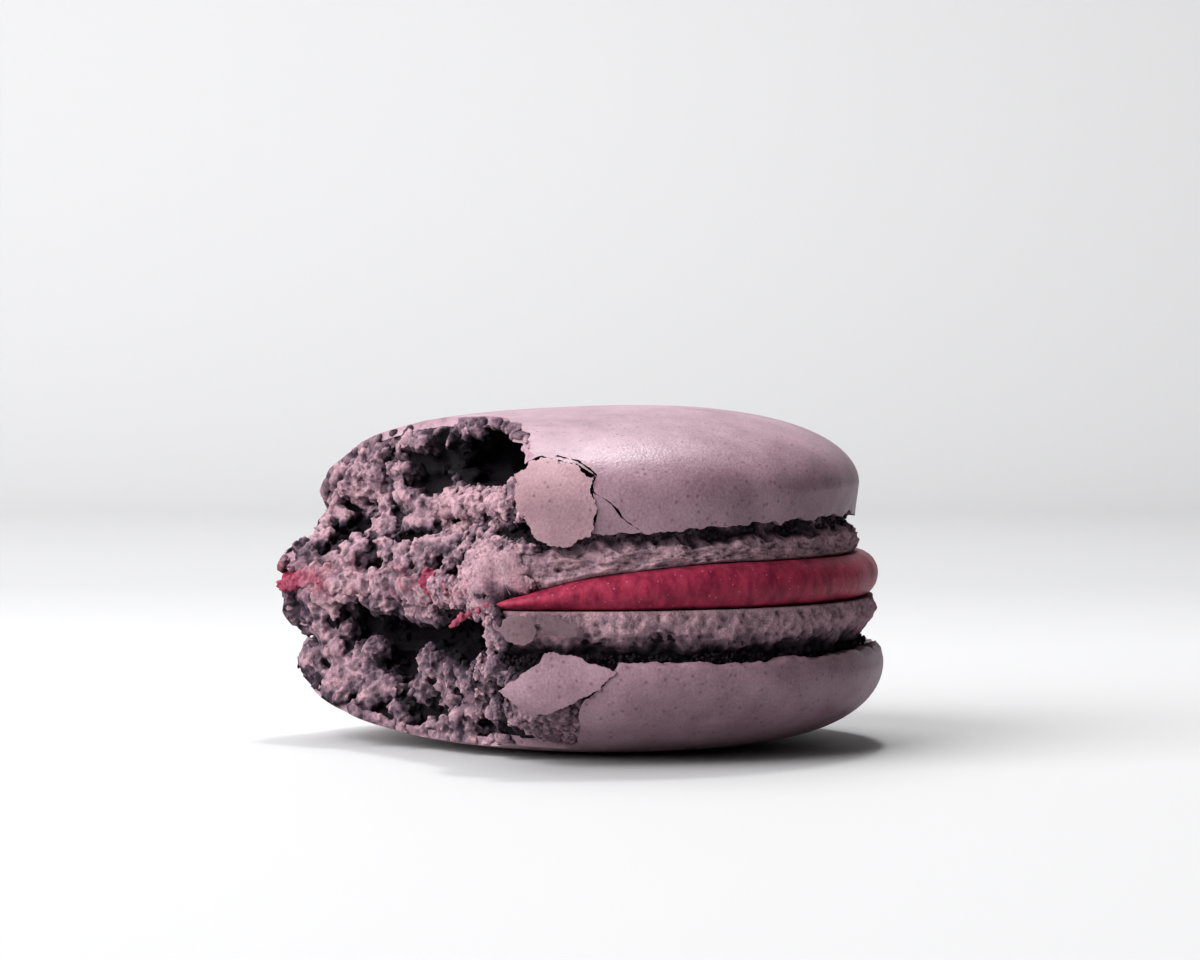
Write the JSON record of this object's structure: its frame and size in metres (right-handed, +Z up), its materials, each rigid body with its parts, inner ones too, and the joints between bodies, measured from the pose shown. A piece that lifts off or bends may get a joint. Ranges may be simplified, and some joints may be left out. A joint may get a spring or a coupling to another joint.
{
  "type": "french macaron",
  "caption": "French macaron, mauve almond shells round a red filling, bitten at its left front, with hollow torn crumb, cracked crust and frilly feet.",
  "frame": {"origin": "middle of the underside of the whole macaron's box, on the surface that it rests on", "axes": "+Z up through both shells, +X to the right and -Y to the front, the side that shows the bite on its left"},
  "size_m": [0.046, 0.0452, 0.0254],
  "materials": {
    "bottom_shell": "baked almond shell, mauve, satin crust and matt crumb",
    "filling": "moist fruit filling, deep raspberry red",
    "top_shell": "baked almond shell, mauve, satin crust and matt crumb"
  },
  "bodies": {
    "root": {"bottom_shell": "bottom_shell", "filling": "filling", "top_shell": "top_shell"}
  },
  "joints": []
}
